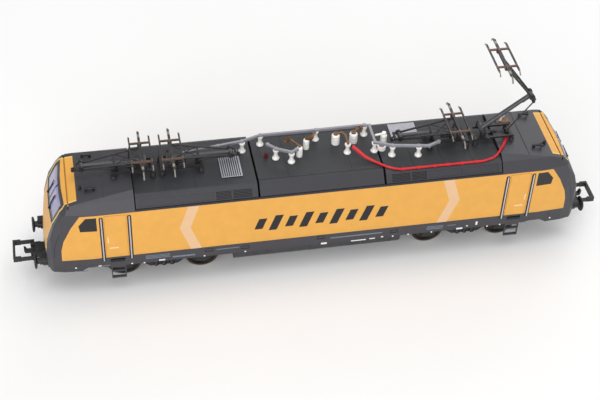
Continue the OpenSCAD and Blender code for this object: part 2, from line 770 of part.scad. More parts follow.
module pan_lower_arm(k) {
  color(dark_grey) pan_frame(k) rotate([0, -pans[k][2], 0]) difference() {
    union() {
      cross_pin(0, 0, -2.2, 2.2, 1);
      cross_pin(0, 0, -3.4, 3.4, 0.45);
      rotate([0, 90, 0]) cylinder(h = lower_arm - 0.5, r1 = 1.05, r2 = 0.8);
      cross_pin(lower_arm, 0, -1.1, 1.1, 0.9);
      // Stay under the knee
      block([lower_arm - 4.4, -0.5, -1.05], [lower_arm - 0.6, 0.5, 0.2]);
    }
    cross_pin(lower_arm, 0, -3, 3, 0.4 + running);
  }
}

module pan_rod(k) {
  angle = rod_angle(pans[k][2], pans[k][3]);
  color(black) pan_frame(k) translate([rod_foot[0], -0.9, rod_foot[1]]) rotate([0, -angle, 0]) difference() {
    union() {
      rotate([0, 90, 0]) cylinder(h = rod_length, r = 0.26);
      cross_pin(0, 0, -0.3, 0.3, 0.6);
      cross_pin(rod_length, 0, -0.25, 0.25, 0.6);
    }
    cross_pin(0, 0, -1, 1, 0.25 + running);
  }
}

// The upper arm is drawn along -X from the knee
module pan_upper_arm(k) {
  spread = 4.2;
  knee_y = 1.75;
  at = knee(pans[k][2]);
  color(dark_grey) pan_frame(k) translate([at[0], 0, at[1]]) rotate([0, pans[k][3], 0]) union() {
    cross_pin(0, 0, -2.6, 2.6, 0.4);
    for (s = [-1, 1]) {
      cross_pin(0, 0, s * knee_y - 0.5, s * knee_y + 0.5, 1.15);
      bar([0, s * knee_y, 0], [-upper_arm, s * spread, 0], 0.42);
    }
    cross_pin(-upper_arm, 0, -5.3, 5.3, 0.4);
    cross_pin(-upper_arm * 0.55, 0, -3.3, 3.3, 0.3);
    bar([-upper_arm * 0.55, -3.2, 0], [-upper_arm, spread, 0], 0.2);
    bar([-upper_arm * 0.55, 3.2, 0], [-upper_arm, -spread, 0], 0.2);
    // Tail behind the knee, which the control rod holds
    for (s = [-1, 1]) {
      bar([0, s * knee_y, 0], [1.9, s * knee_y, 0.2], 0.45);
    }
    cross_pin(1.9, 0.2, -1.9, 1.9, 0.5);
    bar([1.9, 0, 0.2], [tail[0], 0, tail[1]], 0.36);
    cross_pin(tail[0], tail[1], -0.35, 0.35, 0.6);
  }
}

module pan_head(k) {
  at = knee(pans[k][2]);
  upper = pans[k][3];
  rise = 1.2;
  half = strip_gap / 2;
  strip_y = 8.2;
  cross_y = 5.3;
  horn_bend = 2.6;
  horn_y = horn_w / 2 - horn_bend;
  color(dark_grey) pan_frame(k)
    translate([at[0] - upper_arm * cos(upper), 0, at[1] + upper_arm * sin(upper)]) union() {
      // Two slender contact strips with tips bent down
      for (x = [-half, half]) {
        block([x - 0.3, -strip_y - 0.2, rise - 0.3], [x + 0.3, strip_y + 0.2, rise + 0.3]);
        both_sides() translate([x, strip_y, rise - 2]) rotate([90, 0, 90]) bent_tip(2, 0.24, 62);
      }
      // Stout middle member with the long horns
      block([-0.45, -horn_y - 0.2, rise - 0.4], [0.45, horn_y + 0.2, rise + 0.25]);
      both_sides() {
        translate([0, horn_y, rise - 0.08 - horn_bend]) rotate([90, 0, 90]) bent_tip(horn_bend, 0.31, 70);
        // Crosspiece between the strips, hung on the upper arm's end
        block([-half, cross_y - 0.35, rise - 0.5], [half, cross_y + 0.35, rise + 0.1]);
        difference() {
          union() {
            block([-0.8, cross_y - 0.3, -0.2], [0.8, cross_y + 0.3, rise]);
            cross_pin(0, 0, cross_y - 0.3, cross_y + 0.3, 0.8);
          }
          cross_pin(0, 0, -7, 7, 0.4 + running);
        }
      }
    }
}

// Part of a ring in the XY plane: it starts at the top and bends down towards +X
module bent_tip(bend, r, angle) {
  rotate([0, 0, 90 - angle]) rotate_extrude(angle = angle) translate([bend, 0]) circle(r, $fn = 16);
}

// Drive line
module motor_shaft() {
  color(silver) long_pin(-16.5, 16.5, 0, shaft_z, shaft_r);
}

module flywheels() {
  color(brass) both_ends() difference() {
    long_pin(flywheel_x[0], flywheel_x[1], 0, shaft_z, flywheel_r);
    long_pin(flywheel_x[0] - 1, 18, 0, shaft_z, shaft_r + 0.01);
    long_pin(17.05, flywheel_x[1] + 1, 0, shaft_z, socket_r);
    long_pin(flywheel_x[1] - 0.5, flywheel_x[1] + 1, 0, shaft_z, socket_r + 1.2);
  }
}

module cardan() {
  end_x = pivot_x - cup_x;
  color(silver) union() {
    long_pin(ball_x, end_x, 0, shaft_z, cardan_r);
    // Each ball has an upright pin through it
    for (x = [ball_x, end_x]) translate([x, 0, shaft_z]) {
      sphere(ball_r);
      cylinder(h = 4, r = 0.4, center = true);
    }
    long_pin(26, 31, 0, shaft_z, 1.4);
  }
}

module cardan_right() {
  cardan();
}

module cardan_left() {
  mirror([1, 0, 0]) cardan();
}

// The worm shaft of the right bogie, with a worm over each axle gear and a cup for the cardan shaft
module worm_shaft() {
  worm_half = 3.4;
  thread = 0.8;
  color(brass) translate([pivot_x, 0, shaft_z]) union() {
    long_pin(-19.4, 18.8, 0, 0, shaft_r);
    for (s = [-1, 1]) {
      rotate([0, 90, 0]) translate([0, 0, s * axle_x - worm_half]) rotate_extrude()
        polygon(concat([[0, 0]],
          [for (i = [0:7]) for (q = [[worm_r - 0.7, 0], [worm_r, 0.25], [worm_r, 0.5], [worm_r - 0.7, 0.75]])
            [q[0], q[1] + i * thread + 0.2]],
          [[0, 2 * worm_half]]));
    }
    difference() {
      long_pin(-cup_x - 1.5, -cup_x + 2.4, 0, 0, cup_r);
      long_pin(-cup_x - 2, -cup_x + 1.9, 0, 0, socket_r);
    }
  }
}

module worm_right() {
  worm_shaft();
}

module worm_left() {
  mirror([1, 0, 0]) worm_shaft();
}

// Gearbox with its round collar that turns in the chassis
module gearbox() {
  color(black) translate([pivot_x, 0, 0]) difference() {
    union() {
      block([-box_half_x, -box_half_y, box_low], [box_half_x, box_half_y, box_high]);
      translate([0, 0, deck_low - 0.1]) cylinder(h = 2.8, r = collar_r);
      translate([0, 0, deck_low - 0.7]) cylinder(h = 0.65, r = collar_r + 1.5);
    }
    for (s = [-1, 1]) {
      // Room for the axle gear and the worm
      cross_pin(s * axle_x, axle_z, -gear_half - 0.4, gear_half + 0.4, gear_pitch_r + 0.8);
      block([s * axle_x - gear_pitch_r - 0.8, -gear_half - 0.4, box_low - 1],
            [s * axle_x + gear_pitch_r + 0.8, gear_half + 0.4, axle_z]);
      long_pin(s * axle_x - 3.7, s * axle_x + 3.7, 0, shaft_z, worm_r + 0.25);
      // Slot for the axle, open downwards
      cross_pin(s * axle_x, axle_z, -box_half_y - 1, box_half_y + 1, axle_r + running);
      block([s * axle_x - axle_r - running, -box_half_y - 1, box_low - 1],
            [s * axle_x + axle_r + running, box_half_y + 1, axle_z]);
    }
    long_pin(-box_half_x - 1, box_half_x + 1, 0, shaft_z, shaft_r + running);
  }
}

module gearbox_cover() {
  color(dark_grey) translate([pivot_x, 0, 0]) difference() {
    union() {
      block([-box_half_x, -box_half_y, 1.9], [box_half_x, box_half_y, box_low]);
      // Tongues that close the axle slots
      for (s = [-1, 1]) both_sides() {
        block([s * axle_x - 0.9, 2.2, 2.6], [s * axle_x + 0.9, box_half_y - 0.05, axle_z - axle_r - 0.15]);
      }
    }
    for (s = [-1, 1]) {
      cross_pin(s * axle_x, axle_z, -gear_half - 0.4, gear_half + 0.4, gear_pitch_r + 0.8);
    }
    for (x = [-5, 0, 5]) {
      block([x - 1.2, -3, 1.5], [x + 1.2, 3, 2.2]);
    }
  }
}

// Bogie frame: two side frames, end beams and the bolster round the gearbox
module bogie_frame() {
  side = [
    [0, 6], [5.2, 6], [8.2, 8.2], [12.2, 8.6], [12.2, 5.8], [17.7, 5.8], [17.7, 9.2], [22, 9.6],
    [frame_end, 10.4], [frame_end, 12.5], [18, 12.6], [9, 12.6], [6, 11.4], [0, 11.2]
  ];
  color(black) translate([pivot_x, 0, 0]) difference() {
    union() {
      both_sides() {
        translate([0, frame_y + 1.2, 0]) rotate([90, 0, 0]) linear_extrude(1.2) polygon(mirrored(side));
        // Axle boxes, with a coil spring on each side
        for (s = [-1, 1]) {
          cross_pin(s * axle_x, axle_z, frame_y, frame_y + 2, 2);
          for (d = [-3.9, 3.9]) {
            translate([s * axle_x + d, frame_y + 1, 8.8]) coil_spring(3.9, 1.1);
          }
        }
        // Secondary springs and the brake cylinder between the axles
        for (x = [-3, 0, 3]) {
          translate([x, frame_y + 1, 6]) coil_spring(5.6, 1.15);
        }
        long_pin(-5.5, 5.5, frame_y + 1.5, 11.5, 0.45);
      }
      for (s = [-1, 1]) {
        block([s * (frame_end - 0.5) - 0.5, -frame_y - 1, 10.4], [s * (frame_end - 0.5) + 0.5, frame_y + 1, 12.5]);
      }
      block([-4, -frame_y - 1, 9.4], [4, frame_y + 1, 11.4]);
    }
    block([-box_half_x - 0.5, -box_half_y - 0.02, 0], [box_half_x + 0.5, box_half_y + 0.02, 30]);
    // Blind bearings of the axle ends
    for (s = [-1, 1]) {
      cross_pin(s * axle_x, axle_z, -axle_half - 0.3, axle_half + 0.3, axle_r + running);
    }
  }
}

// A short coil spring as a stack of rings on a core
module coil_spring(h, r) {
  turns = 4;
  pitch = h / turns;
  rotate_extrude() polygon(concat([[0, 0]],
    [for (i = [0:turns - 1]) for (q = [[r - 0.3, 0], [r, 0.3], [r, 0.7], [r - 0.3, 1]])
      [q[0], (q[1] + i) * pitch]],
    [[0, h]]));
}

module bogie_right_frame() {
  bogie_frame();
}

module bogie_left_frame() {
  mirror([1, 0, 0]) bogie_frame();
}

module bogie_right_gearbox() {
  gearbox();
}

module bogie_left_gearbox() {
  mirror([1, 0, 0]) gearbox();
}

module bogie_right_cover() {
  gearbox_cover();
}

module bogie_left_cover() {
  mirror([1, 0, 0]) gearbox_cover();
}

// Outline of a spur gear
function gear_points(teeth, m) = [
  for (i = [0:teeth - 1]) for (q = [[-0.3, -1.1], [-0.2, 0], [-0.1, 1], [0.1, 1], [0.2, 0], [0.3, -1.1]])
    let (a = 360 * (i + q[0]) / teeth, r = m * teeth / 2 + m * q[1]) [r * cos(a), r * sin(a)]];

module wheelset(x) {
  tread = tread_d / 2;
  wheel = [
    [0, 0], [flange_r - 0.5, 0], [flange_r, 0.3], [flange_r - 0.15, 0.6], [tread + 0.05, 0.9],
    [tread - 0.08, wheel_w - 0.2], [tread - 0.25, wheel_w], [tread - 1.3, wheel_w], [tread - 1.7, wheel_w - 0.6],
    [2.8, wheel_w - 0.7], [2.3, wheel_w - 0.1], [0, wheel_w - 0.1]
  ];
  translate([x, 0, axle_z]) {
    color(steel) both_sides() translate([0, wheel_in, 0]) rotate([-90, 0, 0]) rotate_extrude() polygon(wheel);
    color(steel) cross_pin(0, 0, -axle_half, axle_half, axle_r);
    color(off_white) rotate([90, 0, 0]) linear_extrude(2 * gear_half, center = true)
      polygon(gear_points(gear_teeth, gear_module));
  }
}

module wheelset_1() {
  wheelset(-pivot_x - axle_x);
}

module wheelset_2() {
  wheelset(-pivot_x + axle_x);
}

module wheelset_3() {
  wheelset(pivot_x - axle_x);
}

module wheelset_4() {
  wheelset(pivot_x + axle_x);
}

// Couplings: a swinging shank under the end of the chassis, and a loop that lifts on it
coupler_pivot_x = 93;
coupler_z = 9.4;
bow_x = 109;
bow_half = 5.4;
bow_pin_r = 0.45;

module coupler_shank() {
  color(black) difference() {
    union() {
      block([coupler_pivot_x, -1.8, coupler_z - 1.1], [bow_x - 2, 1.8, coupler_z + 1.1]);
      translate([coupler_pivot_x, 0, coupler_z - 1.1]) cylinder(h = 3.1, r = 2.2);
      // Pocket with the coupling's own head
      block([99, -2.4, coupler_z - 1.7], [106, 2.4, coupler_z + 1.6]);
      block([106, -3.4, coupler_z - 1], [bow_x - 1, 3.4, coupler_z + 1]);
      for (s = [-1, 1]) {
        block([bow_x - 1.4, s * 2.6 - 0.8, coupler_z - 0.9], [bow_x + 0.9, s * 2.6 + 0.8, coupler_z + 0.9]);
      }
      // Hook
      rotate([90, 0, 0]) linear_extrude(1.6, center = true)
        polygon([[bow_x - 1.5, coupler_z - 0.8], [bow_x + 3, coupler_z - 0.8], [bow_x + 3.4, coupler_z + 0.2],
                 [bow_x + 3.4, coupler_z + 1.8], [bow_x + 2.6, coupler_z + 1.2], [bow_x + 2.4, coupler_z + 0.3],
                 [bow_x - 1.5, coupler_z + 0.3]]);
    }
    translate([coupler_pivot_x, 0, 0]) cylinder(h = 20, r = 0.9 + running);
    cross_pin(bow_x, coupler_z, -5, 5, bow_pin_r + running);
  }
}

module coupler_bow() {
  color(black) union() {
    cross_pin(bow_x, coupler_z, -bow_half, bow_half, bow_pin_r);
    both_sides() block([bow_x - 0.6, bow_half - 1.3, coupler_z - 0.6], [coupler_reach - 1.4, bow_half - 0.4, coupler_z + 0.8]);
    difference() {
      block([coupler_reach - 3, -bow_half + 0.4, coupler_z - 0.8], [coupler_reach, bow_half - 0.4, coupler_z + 1.4]);
      block([coupler_reach - 4, -bow_half + 1.3, coupler_z - 2], [coupler_reach - 0.8, bow_half - 1.3, coupler_z + 3]);
    }
  }
}

module coupler_right_shank() {
  coupler_shank();
}

module coupler_left_shank() {
  mirror([1, 0, 0]) coupler_shank();
}

module coupler_right_bow() {
  coupler_bow();
}

module coupler_left_bow() {
  mirror([1, 0, 0]) coupler_bow();
}

chassis_frame();
body_shell();
roof_middle();
roof_left();
roof_right();
windscreens();
side_windows();
cab_interiors();
lamp_lenses();
wipers();
circuit_board();
motor_housing();
underfloor_tank();
buffers();
cab_steps();
handrails();
roof_horns();
insulators();
busbars();
copper_links();
red_cable();
roof_gratings();
pantograph_bases();
motor_shaft();
flywheels();
cardan_left();
cardan_right();
bogie_left_frame();
bogie_left_gearbox();
bogie_left_cover();
worm_left();
bogie_right_frame();
bogie_right_gearbox();
bogie_right_cover();
worm_right();
wheelset_1();
wheelset_2();
wheelset_3();
wheelset_4();
pan_lower_arm(0);  // pantograph_1_lower_arm
pan_rod(0);  // pantograph_1_rod
pan_upper_arm(0);  // pantograph_1_upper_arm
pan_head(0);  // pantograph_1_head
pan_lower_arm(1);  // pantograph_2_lower_arm
pan_rod(1);  // pantograph_2_rod
pan_upper_arm(1);  // pantograph_2_upper_arm
pan_head(1);  // pantograph_2_head
pan_lower_arm(2);  // pantograph_3_lower_arm
pan_rod(2);  // pantograph_3_rod
pan_upper_arm(2);  // pantograph_3_upper_arm
pan_head(2);  // pantograph_3_head
pan_lower_arm(3);  // pantograph_4_lower_arm
pan_rod(3);  // pantograph_4_rod
pan_upper_arm(3);  // pantograph_4_upper_arm
pan_head(3);  // pantograph_4_head
coupler_left_shank();
coupler_left_bow();
coupler_right_shank();
coupler_right_bow();
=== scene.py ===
import math
import bmesh
import bpy
from mathutils import Matrix, Vector


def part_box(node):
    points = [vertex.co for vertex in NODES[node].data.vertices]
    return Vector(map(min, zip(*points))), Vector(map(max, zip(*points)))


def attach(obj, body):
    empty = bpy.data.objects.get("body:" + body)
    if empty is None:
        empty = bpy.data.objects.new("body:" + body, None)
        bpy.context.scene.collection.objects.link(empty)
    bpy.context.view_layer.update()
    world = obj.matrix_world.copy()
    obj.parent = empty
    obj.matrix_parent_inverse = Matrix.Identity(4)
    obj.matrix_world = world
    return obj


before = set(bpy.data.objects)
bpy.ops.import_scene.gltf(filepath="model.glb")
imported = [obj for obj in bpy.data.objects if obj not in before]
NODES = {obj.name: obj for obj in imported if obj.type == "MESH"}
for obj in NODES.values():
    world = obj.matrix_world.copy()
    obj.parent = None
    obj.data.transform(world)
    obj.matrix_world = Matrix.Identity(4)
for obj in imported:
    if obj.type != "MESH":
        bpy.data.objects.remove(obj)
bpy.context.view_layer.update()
MM = 0.001  # metres in a millimetre: the sizes and places below are in millimetres
X, Y, Z = range(3)
UP = (0, 0, 1)


def low(node, axis):
    """The low face of a node's box along an axis."""
    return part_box(node)[0][axis] / MM


def high(node, axis):
    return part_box(node)[1][axis] / MM


def middle(node, axis):
    return (low(node, axis) + high(node, axis)) / 2


SIDE = high("body_shell", Y)        # the body's flat side
SILL = SIDE - 0.15                  # the grey sill stands back from it
SILL_TOP = 17.95                    # the yellow begins above this height
PANEL_TOP = 39.9                    # upper edge of the yellow side
FRONT_FROM = 90.6                   # the yellow front begins at this distance from the middle
FRONT_BOTTOM = 19.2                 # lower edge of the yellow front
STEPS_X = high("cab_steps", X) - 2.8     # middle of each ladder


# ---------------------------------------------------------------- materials
class Look:
    """One procedural material. Its points are in millimetres in the locomotive's own frame."""

    def __init__(self, name, metallic=0.0, roughness=0.5, specular=0.5):
        self.mat = bpy.data.materials.new(name)
        self.mat.use_nodes = True
        self.tree = self.mat.node_tree
        self.tree.nodes.clear()
        self.bsdf = self.tree.nodes.new("ShaderNodeBsdfPrincipled")
        out = self.tree.nodes.new("ShaderNodeOutputMaterial")
        self.tree.links.new(self.bsdf.outputs[0], out.inputs[0])
        self.set("Metallic", metallic)
        self.set("Roughness", roughness)
        self.set("Specular IOR Level", specular)
        coords = self.tree.nodes.new("ShaderNodeTexCoord")
        self.mm = self.scaled(coords.outputs["Object"], 1 / MM)
        split = self.tree.nodes.new("ShaderNodeSeparateXYZ")
        self.tree.links.new(self.mm, split.inputs[0])
        self.x, self.y, self.z = split.outputs
        self.ax = self.math("ABSOLUTE", self.x)
        self.ay = self.math("ABSOLUTE", self.y)

    def set(self, name, value):
        self.feed(self.bsdf.inputs[name], value)

    def feed(self, socket, value):
        """Links a socket to another one, or gives it a plain value."""
        if isinstance(value, bpy.types.NodeSocket):
            self.tree.links.new(value, socket)
        else:
            socket.default_value = value

    def math(self, op, a, b=None, c=None, clamp=False):
        node = self.tree.nodes.new("ShaderNodeMath")
        node.operation = op
        node.use_clamp = clamp
        for i, v in enumerate((a, b, c)):
            if v is not None:
                self.feed(node.inputs[i], v)
        return node.outputs[0]

    def add(self, a, b):
        return self.math("ADD", a, b)

    def sub(self, a, b):
        return self.math("SUBTRACT", a, b)

    def mul(self, a, b):
        return self.math("MULTIPLY", a, b)

    def above(self, value, edge, soft=0.03):
        """1 where value is over edge, with a soft step."""
        return self.math("MULTIPLY_ADD", self.sub(value, edge), 1.0 / soft, 0.5, clamp=True)

    def below(self, value, edge, soft=0.03):
        return self.math("MULTIPLY_ADD", self.sub(edge, value), 1.0 / soft, 0.5, clamp=True)

    def band(self, value, start, end, soft=0.03):
        return self.mul(self.above(value, start, soft), self.below(value, end, soft))

    def all(self, *masks):
        result = masks[0]
        for m in masks[1:]:
            result = self.mul(result, m)
        return result

    def any(self, *masks):
        result = masks[0]
        for m in masks[1:]:
            result = self.math("MAXIMUM", result, m)
        return result

    def curve(self, value, points):
        """A piecewise linear function of value through the given points."""
        start, end = points[0][0], points[-1][0]
        bottom = min(p[1] for p in points)
        top = max(p[1] for p in points)
        share = self.math("DIVIDE", self.sub(value, start), end - start, clamp=True)
        node = self.tree.nodes.new("ShaderNodeFloatCurve")
        line = node.mapping.curves[0]
        for i, p in enumerate(points):
            at = ((p[0] - start) / (end - start), (p[1] - bottom) / (top - bottom))
            if i in (0, len(points) - 1):
                line.points[0 if i == 0 else -1].location = at
            else:
                line.points.new(*at)
        for p in line.points:
            p.handle_type = "VECTOR"
        node.mapping.update()
        self.feed(node.inputs["Value"], share)
        return self.math("MULTIPLY_ADD", node.outputs[0], top - bottom, bottom)

    def noise(self, scale, detail=2.0, rough=0.5):
        node = self.tree.nodes.new("ShaderNodeTexNoise")
        self.feed(node.inputs["Vector"], self.mm)
        node.inputs["Scale"].default_value = scale
        node.inputs["Detail"].default_value = detail
        node.inputs["Roughness"].default_value = rough
        return node.outputs["Fac"]

    def mix(self, share, a, b):
        node = self.tree.nodes.new("ShaderNodeMix")
        node.data_type = "RGBA"
        self.feed(node.inputs["Factor"], share)
        self.feed(node.inputs[6], a if isinstance(a, bpy.types.NodeSocket) else (*a, 1.0))
        self.feed(node.inputs[7], b if isinstance(b, bpy.types.NodeSocket) else (*b, 1.0))
        return node.outputs[2]

    def span(self, value, start, end):
        """Maps 0..1 onto start..end."""
        return self.math("MULTIPLY_ADD", value, end - start, start)

    def varied(self, colour, amount, scale):
        """The colour with a cloudy change of brightness."""
        if isinstance(colour, bpy.types.NodeSocket):
            dark = self.scaled(colour, 1 - amount)
            light = self.scaled(colour, 1 + amount)
        else:
            dark = tuple(c * (1 - amount) for c in colour)
            light = tuple(min(1.0, c * (1 + amount)) for c in colour)
        return self.mix(self.patches(self.noise(scale, 4.0), 1.6, 0.3), dark, light)

    def patches(self, noise, contrast, cut):
        """A noise stretched to this contrast and cut off below, so that it lies in patches."""
        return self.math("MULTIPLY_ADD", noise, contrast, -cut, clamp=True)

    def scaled(self, colour, factor):
        node = self.tree.nodes.new("ShaderNodeVectorMath")
        node.operation = "SCALE"
        self.feed(node.inputs[0], colour)
        node.inputs["Scale"].default_value = factor
        return node.outputs["Vector"]

    def bump(self, height, depth_mm):
        node = self.tree.nodes.new("ShaderNodeBump")
        node.inputs["Strength"].default_value = 1.0
        node.inputs["Distance"].default_value = depth_mm * MM
        self.feed(node.inputs["Height"], height)
        self.tree.links.new(node.outputs[0], self.bsdf.inputs["Normal"])

    def finish(self, colour, roughness=None, bump_scale=6.0, bump_mm=0.008):
        """Sets the colour, a range of roughness and a fine grain, and returns the material."""
        self.set("Base Color", colour if isinstance(colour, bpy.types.NodeSocket) else (*colour, 1.0))
        if roughness is not None:
            self.set("Roughness", self.span(self.noise(1.3, 3.0), *roughness))
        if bump_mm:
            self.bump(self.noise(bump_scale, 2.0), bump_mm)
        return self.mat


def rgb(r, g, b):
    """Linear colour of an 8-bit display colour."""
    def lin(c):
        c /= 255
        return c / 12.92 if c <= 0.04045 else ((c + 0.055) / 1.055) ** 2.4
    return (lin(r), lin(g), lin(b))


YELLOW = rgb(222, 163, 72)
PEACH = rgb(222, 182, 140)
GREY = rgb(60, 59, 65)
ROOF = rgb(48, 49, 53)
BLACK = rgb(12, 10, 17)
WHITE = rgb(226, 224, 220)


def body_paint():
    s = Look("body_paint", roughness=0.42, specular=0.45)
    # The yellow side panel ends in a slanted front edge, and the yellow front in a curved corner ridge
    panel_edge = s.curve(s.z, [(17.9, 98.15), (23.1, 98.0), (27.7, 96.9), (34.3, 93.8), (PANEL_TOP, 90.2)])
    ridge = s.curve(s.z, [(12.0, 11.8), (20.0, 12.0), (26.0, 12.5), (30.0, 12.7), (34.5, 13.4),
                          (38.5, 13.9), (42.0, 13.8), (44.2, 12.4)])
    side = s.all(s.below(s.ax, panel_edge), s.above(s.ay, SIDE - 1.1), s.below(s.z, PANEL_TOP))
    in_front = (s.above(s.ax, FRONT_FROM), s.above(s.z, FRONT_BOTTOM))
    front = s.all(s.below(s.ay, ridge), *in_front)
    yellow = s.all(s.any(side, front), s.above(s.z, SILL_TOP))
    paint = s.mix(yellow, GREY, YELLOW)
    # A painted highlight: a pale line along the ridge
    ridge_highlight = s.all(s.band(s.sub(s.ay, ridge), -0.45, 0.0), *in_front)
    paint = s.mix(s.all(ridge_highlight, front), paint, rgb(238, 206, 112))
    # The dark frame round the windscreens, 0.8 inside the ridge
    beside_glass = s.all(s.band(s.z, 34.0, 42.9), s.below(s.ay, s.sub(ridge, 0.8)), s.above(s.ax, 94.0))
    paint = s.mix(s.all(front, beside_glass), paint, rgb(44, 42, 47))
    # Painted shade: a dark line in the crease of the grey corner band
    crease = s.curve(s.z, [(19.5, 100.9), (22.6, 100.65), (25.6, 100.15), (28.3, 99.3), (31.5, 98.0)])
    on_band = s.all(s.above(s.ay, 14.4), s.band(s.z, 19.5, 31.5))
    paint = s.mix(s.all(s.band(s.sub(s.ax, crease), -0.15, 0.15), on_band), paint, rgb(34, 32, 36))
    # Darker towards the bottom of the sill
    darker_low = s.mul(s.below(s.z, SILL_TOP - 0.95, 6.0), 0.2)
    paint = s.mix(darker_low, paint, rgb(54, 50, 48))
    return s.finish(s.varied(paint, 0.05, 0.25), (0.36, 0.5), 5.0, 0.006)


def simple(name, colour, rough=(0.4, 0.55), metallic=0.0, amount=0.12, scale=0.4, bump_scale=6.0,
           bump_mm=0.008, coat=0.0):
    """A plain finish: its colour varies by amount, in clouds set by scale, and rough is its roughness."""
    s = Look(name, metallic=metallic)
    if coat:
        s.bsdf.inputs["Coat Weight"].default_value = coat
        s.bsdf.inputs["Coat Roughness"].default_value = 0.1
    return s.finish(s.varied(colour, amount, scale), rough, bump_scale, bump_mm)


def roof_plastic():
    s = Look("roof_plastic", specular=0.4)
    # Painted light: the slope is a little lighter than the flat top, as the light falls on it
    lit_slope = s.band(s.ay, high("roof_middle", Y) - 3.8, high("roof_middle", Y) + 0.2, 0.4)
    colour = s.mix(lit_slope, ROOF, rgb(52, 52, 57))
    return s.finish(s.varied(colour, 0.07, 0.3), (0.45, 0.6), 4.0, 0.01)


def windscreen():
    s = Look("clear_glazing", roughness=0.06, specular=0.6)
    # A dark seal runs round each pane, and a pillar stands between the two
    outside = high("windscreens", Y) - 0.94
    bottom = low("windscreens", Z) + 1.04
    top = high("windscreens", Z) - 0.54
    pillar = 0.45
    soft = 0.08
    edge = s.any(s.above(s.ay, outside, soft), s.below(s.z, bottom, soft), s.above(s.z, top, soft),
                 s.below(s.ay, pillar, soft))
    # The panes: a lavender tint with a painted reflection of the sky, lighter and darker in clouds
    tint_and_sky_reflection = s.mix(s.noise(0.22, 3.0), rgb(150, 142, 184), rgb(184, 178, 212))
    s.set("Base Color", s.mix(edge, tint_and_sky_reflection, rgb(52, 52, 58)))
    s.set("Roughness", s.span(s.noise(2.0, 2.0), 0.05, 0.1))
    s.set("Transmission Weight", s.mul(s.sub(1.0, edge), 0.25))
    s.bump(s.noise(1.2, 1.0), 0.01)
    return s.mat


def lamp_lens():
    s = Look("lamp_lens", roughness=0.08, specular=0.8)
    red_to = 9.8  # the tail lamps lie inside this distance from the middle
    red = s.below(s.ay, red_to, 0.1)
    clear = s.mix(s.noise(1.5, 2.0), rgb(228, 224, 214), rgb(250, 248, 240))
    s.set("Base Color", s.mix(red, clear, rgb(190, 20, 28)))
    s.bump(s.math("SINE", s.mul(s.z, 14.0)), 0.02)
    return s.mat


def wheel_metal():
    s = Look("wheel_metal", metallic=0.9)
    # Distance from the nearest axle: the treads and flanges are bright, the wheel faces browned
    inner, outer = middle("wheelset_3", X), middle("wheelset_4", X)
    from_pivot = s.math("ABSOLUTE", s.sub(s.ax, (inner + outer) / 2))
    near = s.sub(from_pivot, (outer - inner) / 2)
    height = s.sub(s.z, middle("wheelset_3", Z))
    radius = s.math("SQRT", s.add(s.mul(near, near), s.mul(height, height)))
    tread_from = 6.7
    tread = s.above(radius, tread_from, 0.1)
    browned = s.varied(rgb(74, 68, 64), 0.15, 0.8)
    bright = s.varied(rgb(176, 172, 168), 0.1, 1.5)
    colour = s.mix(tread, browned, bright)
    return s.finish(colour, (0.25, 0.45), 3.0, 0.01)


def circuit_board():
    s = Look("circuit_board", specular=0.5)
    # Thin gold tracks across the board, three millimetres apart
    grid = s.math("GREATER_THAN", s.math("SINE", s.mul(s.x, 2.1)), 0.86)
    colour = s.mix(s.mul(grid, 0.5), s.varied(rgb(24, 92, 52), 0.15, 0.5), rgb(150, 130, 60))
    return s.finish(colour, (0.25, 0.4))


def pantograph_metal():
    s = Look("pantograph_metal", metallic=0.35)
    wear_and_sheen = s.patches(s.noise(0.9, 4.0, rough=0.7), 3.0, 1.45)
    colour = s.mix(s.mul(wear_and_sheen, 0.55), s.varied(rgb(44, 44, 47), 0.15, 0.8), rgb(96, 78, 64))
    return s.finish(colour, (0.35, 0.55), 7.0, 0.012)


def grating_grey():
    s = Look("grating_grey", metallic=0.2)
    dirt = s.patches(s.noise(0.8, 4.0), 2.0, 0.7)
    colour = s.mix(s.mul(dirt, 0.4), rgb(170, 170, 178), rgb(132, 132, 142))
    # Painted shade in the grooves of the left grating, below its bars
    bars_from = high("roof_gratings", Z) - 0.15
    groove_shade = s.all(s.below(s.z, bars_from, 0.1), s.below(s.x, 0.0))
    colour = s.mix(groove_shade, colour, rgb(52, 50, 56))
    return s.finish(s.varied(colour, 0.06, 1.0), (0.4, 0.55), 7.0, 0.01)


def arm_grey_and_sheen():
    """The lower arms of the pantographs, a lighter grey than the rest, with light patches of painted sheen.
    """
    s = Look("arm_grey_and_sheen", metallic=0.3)
    # Light patches: a painted sheen where light falls on the arms
    wear_and_sheen = s.patches(s.noise(1.1, 4.0, rough=0.7), 3.0, 1.5)
    colour = s.mix(s.mul(wear_and_sheen, 0.4), s.varied(rgb(70, 71, 74), 0.15, 0.8), rgb(112, 112, 114))
    return s.finish(colour, (0.3, 0.5), 7.0, 0.012)


def head_metal():
    """The pantograph heads: browned crosspieces, dark strips and horns with bare tips."""
    s = Look("head_metal", metallic=0.35)
    wear_and_sheen = s.patches(s.noise(0.9, 4.0, rough=0.7), 3.0, 1.4)
    colour = s.mix(s.mul(wear_and_sheen, 0.5), s.varied(rgb(46, 45, 47), 0.15, 0.8), rgb(92, 80, 72))
    cross = s.band(s.ay, 4.5, 6.1, 0.2)  # the two crosspieces
    colour = s.mix(cross, colour, s.varied(rgb(98, 76, 66), 0.2, 1.2))
    tips = s.above(s.ay, 11.4, 0.3)
    bare = s.any(tips, s.all(s.above(s.ay, 8.3, 0.2), s.below(s.ay, 10.0, 0.2)))
    colour = s.mix(s.mul(bare, 0.8), colour, rgb(150, 144, 136))
    return s.finish(colour, (0.3, 0.5), 7.0, 0.012)


